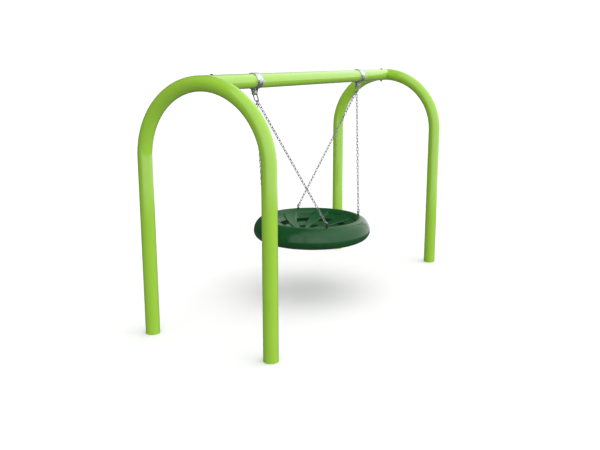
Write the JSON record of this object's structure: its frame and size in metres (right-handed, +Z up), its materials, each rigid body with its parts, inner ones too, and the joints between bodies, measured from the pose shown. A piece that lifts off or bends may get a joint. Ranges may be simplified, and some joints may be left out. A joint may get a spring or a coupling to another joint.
{
  "type": "saucer nest swing",
  "caption": "Playground swing: bent-tube arches carry a top beam; chains on swivel hangers hold a round saucer seat that swings and sways.",
  "frame": {"origin": "on the ground, under the middle of the top beam", "axes": "+X along the top beam, +Y the way the seat swings, +Z up"},
  "size_m": [3.651, 1.387, 2.2818],
  "materials": {
    "lime_coat": "gloss lime-green powder coat on steel tube",
    "seat_green": "satin moulded plastic, dark green",
    "galvanised": "hot-dip galvanised, dull",
    "chain_zinc": "galvanised chain and shackles, dulled by use",
    "dark_steel": "dark oiled steel, satin",
    "stainless": "satin stainless",
    "bronze": "plain bearing bronze"
  },
  "bodies": {
    "frame": {"arch_left": "lime_coat", "arch_right": "lime_coat", "top_beam": "lime_coat", "spigot_left": "galvanised", "splice_bolt_left": "dark_steel", "splice_nut_left": "dark_steel", "clamp_upper_left": "galvanised", "clamp_lower_left": "galvanised", "pivot_bolt_left": "stainless", "pivot_nut_left": "stainless", "clamp_bolt_left_front_1": "galvanised", "clamp_nut_left_front_1": "galvanised", "clamp_bolt_left_front_2": "galvanised", "clamp_nut_left_front_2": "galvanised", "clamp_bolt_left_back_1": "galvanised", "clamp_nut_left_back_1": "galvanised", "clamp_bolt_left_back_2": "galvanised", "clamp_nut_left_back_2": "galvanised", "spigot_right": "galvanised", "splice_bolt_right": "dark_steel", "splice_nut_right": "dark_steel", "clamp_upper_right": "galvanised", "clamp_lower_right": "galvanised", "pivot_bolt_right": "stainless", "pivot_nut_right": "stainless", "clamp_bolt_right_front_1": "galvanised", "clamp_nut_right_front_1": "galvanised", "clamp_bolt_right_front_2": "galvanised", "clamp_nut_right_front_2": "galvanised", "clamp_bolt_right_back_1": "galvanised", "clamp_nut_right_back_1": "galvanised", "clamp_bolt_right_back_2": "galvanised", "clamp_nut_right_back_2": "galvanised"},
    "left_pendulum": {"pendulum_left": "stainless", "pivot_bush_left_1": "bronze", "pivot_bush_left_2": "bronze", "cross_pin_left": "stainless"},
    "left_chains": {"shackle_left": "chain_zinc", "chain_left_front": "chain_zinc", "chain_left_back": "chain_zinc", "seat_link_left_front": "chain_zinc", "seat_link_left_back": "chain_zinc"},
    "right_pendulum": {"pendulum_right": "stainless", "pivot_bush_right_1": "bronze", "pivot_bush_right_2": "bronze", "cross_pin_right": "stainless"},
    "right_chains": {"shackle_right": "chain_zinc", "chain_right_front": "chain_zinc", "chain_right_back": "chain_zinc", "seat_link_right_front": "chain_zinc", "seat_link_right_back": "chain_zinc"},
    "seat": {"seat_ring": "seat_green", "seat_bowl": "seat_green", "rim_hoop": "stainless", "eye_bolt_left_front": "dark_steel", "eye_bolt_left_back": "dark_steel", "eye_bolt_right_front": "dark_steel", "eye_bolt_right_back": "dark_steel"}
  },
  "joints": [
    {"name": "left_swing", "type": "hinge", "parent": "frame", "child": "left_pendulum", "pos_m": [-1.0175, 0, 2.127], "axis": [1, 0, 0], "range_deg": [-60, 60]},
    {"name": "right_swing", "type": "hinge", "parent": "frame", "child": "right_pendulum", "pos_m": [1.0175, 0, 2.127], "axis": [1, 0, 0], "range_deg": [-60, 60]},
    {"name": "left_sway", "type": "hinge", "parent": "left_pendulum", "child": "left_chains", "pos_m": [-1.0175, 0, 2.099], "axis": [0, 1, 0], "range_deg": [-3, 3]},
    {"name": "right_sway", "type": "hinge", "parent": "right_pendulum", "child": "right_chains", "pos_m": [1.0175, 0, 2.099], "axis": [0, 1, 0], "range_deg": [-3, 3]},
    {"name": "seat_tilt", "type": "hinge", "parent": "left_chains", "child": "seat", "pos_m": [-0.34, 0, 0.8258], "axis": [0, 1, 0], "range_deg": [-9, 9]}
  ],
  "couplings": [
    {"joint": "right_swing", "follows": "left_swing", "ratio": 1},
    {"joint": "right_sway", "follows": "left_sway", "ratio": 1},
    {"joint": "seat_tilt", "follows": "left_sway", "ratio": -2.9926}
  ]
}
